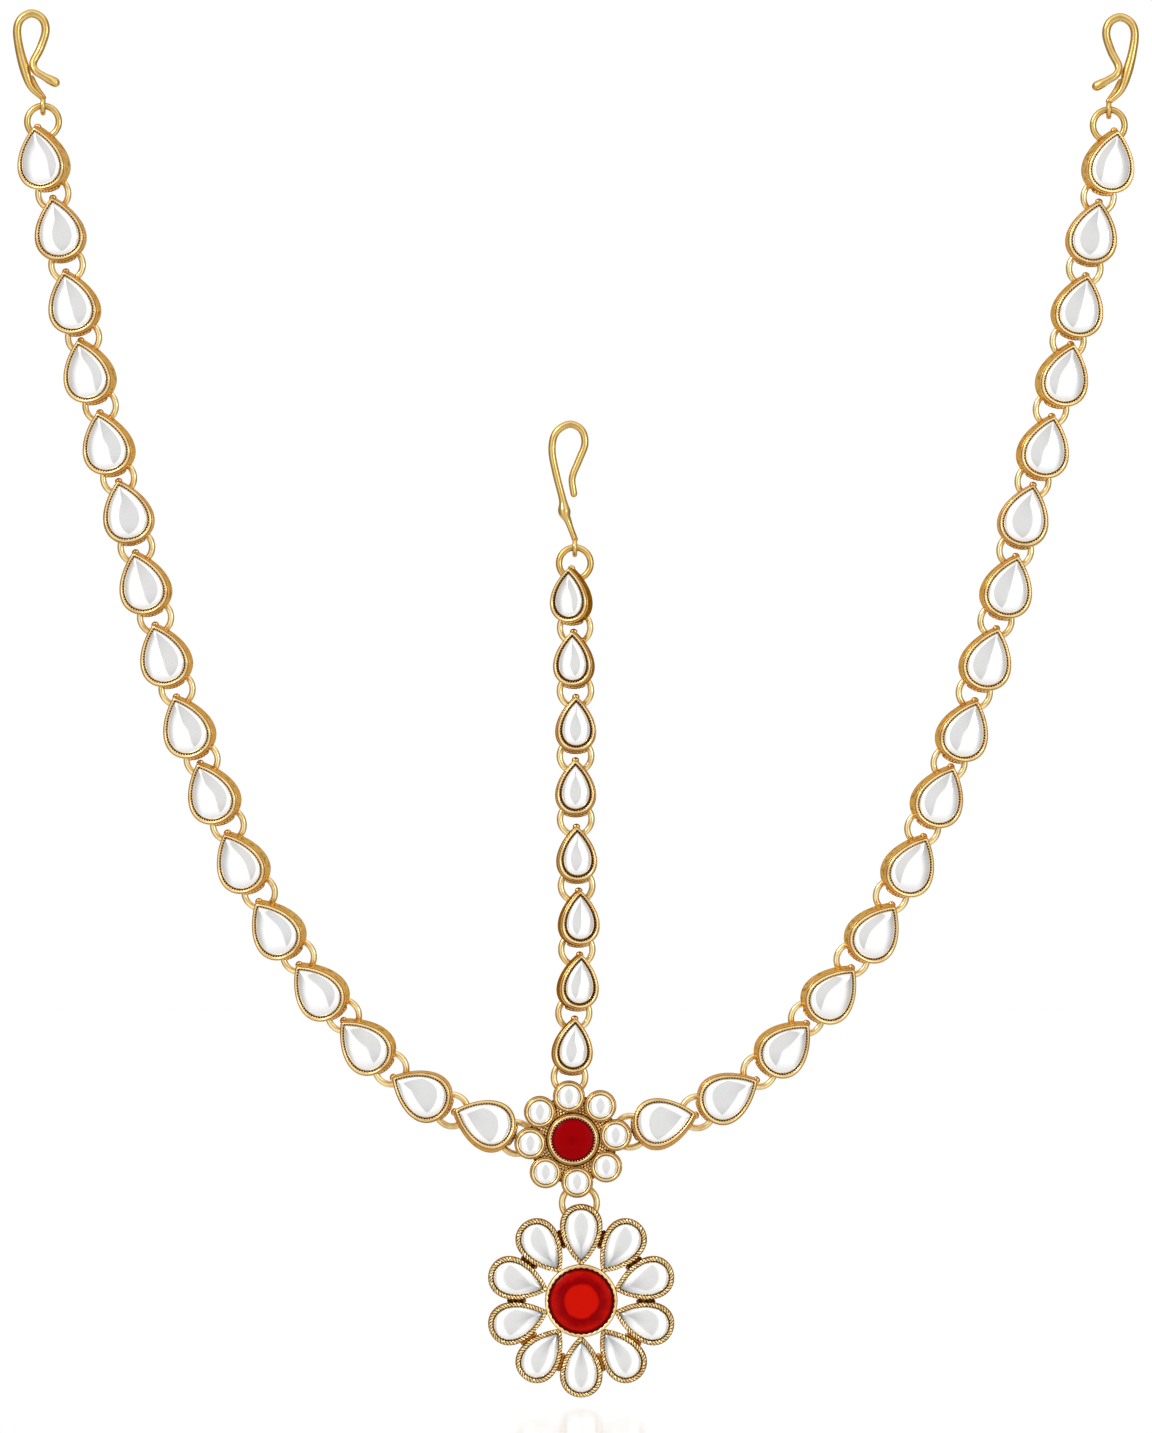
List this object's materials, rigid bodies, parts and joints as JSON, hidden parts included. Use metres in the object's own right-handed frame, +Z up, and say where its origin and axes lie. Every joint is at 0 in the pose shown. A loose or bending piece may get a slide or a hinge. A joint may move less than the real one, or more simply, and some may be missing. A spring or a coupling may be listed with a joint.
{
  "type": "matha patti head jewel",
  "caption": "Indian head jewel hanging from its centre hook: two arms and a centre chain of white drop stones in gold, meeting in a flower with a round pendant below.",
  "frame": {"origin": "underside of the centre hook's crook, where it hangs", "axes": "+Z up the way it hangs, -Y out of the stones' faces, +X to the right seen from the front"},
  "size_m": [0.1744, 0.0062, 0.215],
  "materials": {
    "gold": "antique satin gold plate",
    "white_stone": "glossy opaque white glass stones",
    "ruby": "glossy deep red glass",
    "bright_red": "glossy faceted bright red glass"
  },
  "bodies": {
    "chains": {"left_hook": "gold", "left_hook_ring": "gold", "left_link_01": "gold", "left_link_02": "gold", "left_link_03": "gold", "left_link_04": "gold", "left_link_05": "gold", "left_link_06": "gold", "left_link_07": "gold", "left_link_08": "gold", "left_link_09": "gold", "left_link_10": "gold", "left_link_11": "gold", "left_link_12": "gold", "left_link_13": "gold", "left_link_14": "gold", "left_link_15": "gold", "left_link_16": "gold", "right_hook": "gold", "right_hook_ring": "gold", "right_link_01": "gold", "right_link_02": "gold", "right_link_03": "gold", "right_link_04": "gold", "right_link_05": "gold", "right_link_06": "gold", "right_link_07": "gold", "right_link_08": "gold", "right_link_09": "gold", "right_link_10": "gold", "right_link_11": "gold", "right_link_12": "gold", "right_link_13": "gold", "right_link_14": "gold", "right_link_15": "gold", "right_link_16": "gold", "centre_hook": "gold", "centre_hook_ring": "gold", "centre_link_01": "gold", "centre_link_02": "gold", "centre_link_03": "gold", "centre_link_04": "gold", "centre_link_05": "gold", "centre_link_06": "gold", "centre_link_07": "gold", "centre_link_08": "gold", "flower_setting": "gold", "flower_red_stone": "ruby", "pendant_ring": "gold"},
    "pendant": {"pendant_setting": "gold", "pendant_red_stone": "bright_red"}
  },
  "joints": [
    {"name": "pendant_swing", "type": "hinge", "parent": "chains", "child": "pendant", "pos_m": [0.00189, 0, -0.12284], "axis": [1, 0, 0], "range_deg": [-12, 75]}
  ]
}
